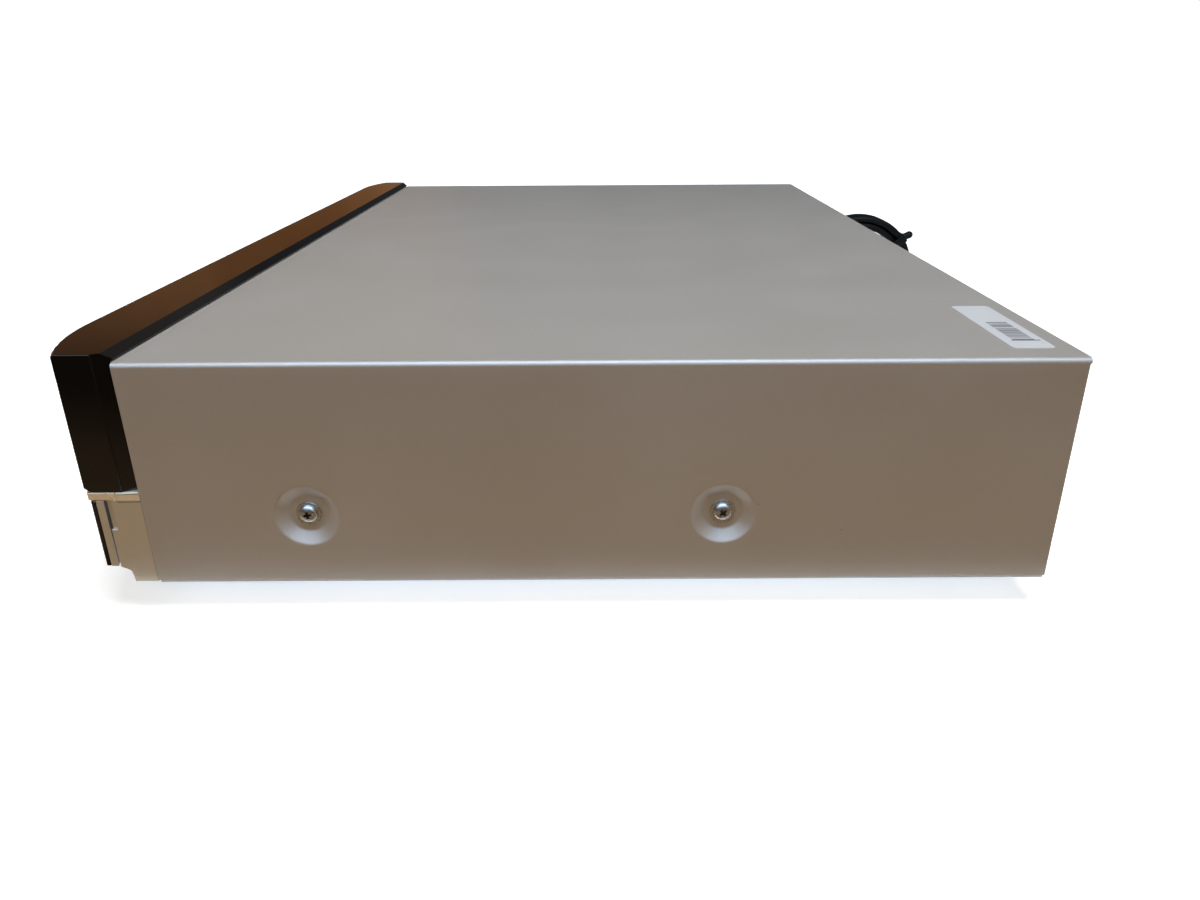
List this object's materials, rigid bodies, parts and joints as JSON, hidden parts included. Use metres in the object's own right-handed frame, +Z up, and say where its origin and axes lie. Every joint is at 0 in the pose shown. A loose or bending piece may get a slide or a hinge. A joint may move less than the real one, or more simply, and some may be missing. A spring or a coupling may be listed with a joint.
{
  "type": "dvd vcr combo player",
  "caption": "Low full-width disc and cassette player: folded silver lid, glossy black upper front, silver flip-down door, disc tray, cassette slot and a tied mains lead.",
  "frame": {"origin": "on the floor under the middle of the case's box, measured without the mains lead", "axes": "+X to the unit's right seen from the front, the front faces -Y, +Z up"},
  "size_m": [0.43, 0.3721, 0.0845],
  "materials": {
    "lid_paint": "satin silver paint with a fine grain",
    "pan_steel": "plain zinc-plated sheet",
    "rear_paint": "grey paint",
    "foot_rubber": "matt",
    "screw_zinc": "bright zinc plate",
    "label_white": "satin sticker film",
    "front_silver": "champagne silver paint on plastic",
    "front_black": "piano black",
    "panel_black": "fine texture",
    "window_smoke": "smoked clear plastic",
    "board_green": "solder resist",
    "board_tan": "phenolic board",
    "key_silver": "satin silver paint",
    "key_grey": "satin",
    "socket_nickel": "nickel plate",
    "insert_yellow": "satin",
    "insert_white": "satin",
    "insert_red": "satin",
    "insert_green": "satin",
    "insert_blue": "satin",
    "can_tin": "tinned sheet",
    "coil_tape": "yellow transformer tape and ferrite",
    "deck_steel": "plated sheet",
    "drum_metal": "turned",
    "reel_white": "satin",
    "motor_dark": "satin",
    "drive_black": "fine texture",
    "tray_black": "satin",
    "gear_white": "satin",
    "cord_black": "satin vinyl"
  },
  "bodies": {
    "case": {"top_cover": "lid_paint", "bottom_chassis": "pan_steel", "rear_panel": "rear_paint", "feet": "foot_rubber", "case_screws": "screw_zinc", "asset_label": "label_white", "front_frame": "front_silver", "upper_fascia": "front_black", "control_panel": "panel_black", "display_window": "window_smoke", "display_board": "board_green", "jack_blocks": "panel_black", "rca_shells": "socket_nickel", "yellow_inserts": "insert_yellow", "white_inserts": "insert_white", "red_inserts": "insert_red", "green_insert": "insert_green", "blue_insert": "insert_blue", "s_video_socket": "panel_black", "tuner_module": "can_tin", "main_board": "board_green", "power_board": "board_tan", "transformer": "coil_tape", "deck_plate": "deck_steel", "drum_base": "drum_metal", "loading_motor": "motor_dark", "drive_base": "drive_black", "clamper_bridge": "deck_steel", "cord_bushing": "cord_black", "power_cord": "cord_black", "cord_coil": "cord_black", "cord_tie": "cord_black", "plug": "cord_black"},
    "control_door": {"control_door": "front_silver", "door_trim": "front_black"},
    "cassette_flap": {"cassette_flap": "front_black"},
    "carriage": {"cassette_carriage": "deck_steel"},
    "holder": {"cassette_holder": "deck_steel"},
    "head_drum": {"head_drum": "drum_metal"},
    "capstan": {"capstan": "drum_metal"},
    "supply_reel": {"supply_reel": "reel_white"},
    "takeup_reel": {"takeup_reel": "reel_white"},
    "tray": {"disc_tray": "tray_black", "tray_front": "front_black"},
    "tray_gear": {"tray_gear": "gear_white"},
    "clamper": {"disc_clamper": "drive_black"},
    "traverse": {"traverse": "drive_black", "guide_rods": "drum_metal"},
    "turntable": {"turntable": "drive_black"},
    "laser_sled": {"laser_sled": "drive_black"},
    "sled_gear": {"sled_gear": "gear_white"},
    "power_button": {"power_button": "key_silver"},
    "eject_button": {"eject_button": "key_silver"},
    "open_close_button": {"open_close_button": "key_silver"},
    "play_button": {"play_button": "key_silver"},
    "rewind_button": {"rewind_button": "key_grey"},
    "forward_button": {"forward_button": "key_grey"},
    "record_button": {"record_button": "key_grey"},
    "channel_rocker": {"channel_rocker": "key_grey"}
  },
  "joints": [
    {"name": "door_hinge", "type": "hinge", "parent": "case", "child": "control_door", "pos_m": [0, -0.1428, 0.015], "axis": [1, 0, 0], "range_deg": [0, 90]},
    {"name": "flap_hinge", "type": "hinge", "parent": "case", "child": "cassette_flap", "pos_m": [-0.094, -0.1528, 0.0752], "axis": [1, 0, 0], "range_deg": [0, 90], "stiffness_Nm_per_rad": 0.01, "springref_deg": -28.65},
    {"name": "carriage_in", "type": "slide", "parent": "case", "child": "carriage", "axis": [0, 1, 0], "range_m": [0, 0.045]},
    {"name": "holder_down", "type": "slide", "parent": "carriage", "child": "holder", "axis": [0, 0, -1], "range_m": [0, 0.02]},
    {"name": "drum_spin", "type": "hinge", "parent": "case", "child": "head_drum", "pos_m": [-0.094, 0.0576, 0.0288], "axis": [0, 0.1028, 0.9947], "continuous": true},
    {"name": "capstan_spin", "type": "hinge", "parent": "case", "child": "capstan", "pos_m": [-0.045, 0.0276, 0.0208], "axis": [0, 0, 1], "continuous": true},
    {"name": "supply_spin", "type": "hinge", "parent": "case", "child": "supply_reel", "pos_m": [-0.1403, -0.0284, 0.025], "axis": [0, 0, 1], "continuous": true},
    {"name": "takeup_spin", "type": "hinge", "parent": "case", "child": "takeup_reel", "pos_m": [-0.0477, -0.0284, 0.025], "axis": [0, 0, 1], "continuous": true},
    {"name": "tray_slide", "type": "slide", "parent": "case", "child": "tray", "axis": [0, -1, 0], "range_m": [0, 0.14]},
    {"name": "tray_gear_spin", "type": "hinge", "parent": "case", "child": "tray_gear", "pos_m": [0.0536, -0.1204, 0.06275], "axis": [0, 0, 1], "range_deg": [-1010, 10]},
    {"name": "clamper_spin", "type": "hinge", "parent": "case", "child": "clamper", "pos_m": [0.108, -0.0824, 0.0728], "axis": [0, 0, 1], "continuous": true},
    {"name": "traverse_tilt", "type": "hinge", "parent": "case", "child": "traverse", "pos_m": [0.108, 0.0176, 0.0528], "axis": [1, 0, 0], "range_deg": [0, 4]},
    {"name": "turntable_spin", "type": "hinge", "parent": "traverse", "child": "turntable", "pos_m": [0.108, -0.0824, 0.0658], "axis": [0, 0, 1], "continuous": true},
    {"name": "sled_slide", "type": "slide", "parent": "traverse", "child": "laser_sled", "axis": [0, 1, 0], "range_m": [0, 0.038]},
    {"name": "sled_gear_spin", "type": "hinge", "parent": "traverse", "child": "sled_gear", "pos_m": [0.1415, -0.0244, 0.0548], "axis": [0, 0, 1], "range_deg": [-440, 10]},
    {"name": "power_button_press", "type": "slide", "parent": "case", "child": "power_button", "axis": [0, 1, 0], "range_m": [0, 0.001], "stiffness_N_per_m": 800, "springref_m": -0.0005},
    {"name": "eject_button_press", "type": "slide", "parent": "case", "child": "eject_button", "axis": [0, 1, 0], "range_m": [0, 0.001], "stiffness_N_per_m": 800, "springref_m": -0.0005},
    {"name": "open_close_button_press", "type": "slide", "parent": "case", "child": "open_close_button", "axis": [0, 1, 0], "range_m": [0, 0.001], "stiffness_N_per_m": 800, "springref_m": -0.0005},
    {"name": "play_button_press", "type": "slide", "parent": "case", "child": "play_button", "axis": [0, 1, 0], "range_m": [0, 0.001], "stiffness_N_per_m": 800, "springref_m": -0.0005},
    {"name": "rewind_button_press", "type": "slide", "parent": "case", "child": "rewind_button", "axis": [0, 1, 0], "range_m": [0, 0.001], "stiffness_N_per_m": 800, "springref_m": -0.0005},
    {"name": "forward_button_press", "type": "slide", "parent": "case", "child": "forward_button", "axis": [0, 1, 0], "range_m": [0, 0.001], "stiffness_N_per_m": 800, "springref_m": -0.0005},
    {"name": "record_button_press", "type": "slide", "parent": "case", "child": "record_button", "axis": [0, 1, 0], "range_m": [0, 0.001], "stiffness_N_per_m": 800, "springref_m": -0.0005},
    {"name": "channel_rock", "type": "hinge", "parent": "case", "child": "channel_rocker", "pos_m": [-0.065, -0.1384, 0.0258], "axis": [0, 0, 1], "range_deg": [-3, 3], "stiffness_Nm_per_rad": 0.05}
  ],
  "couplings": [
    {"joint": "tray_gear_spin", "follows": "tray_slide", "rad_per_m": -125},
    {"joint": "sled_gear_spin", "follows": "sled_slide", "rad_per_m": -200}
  ]
}
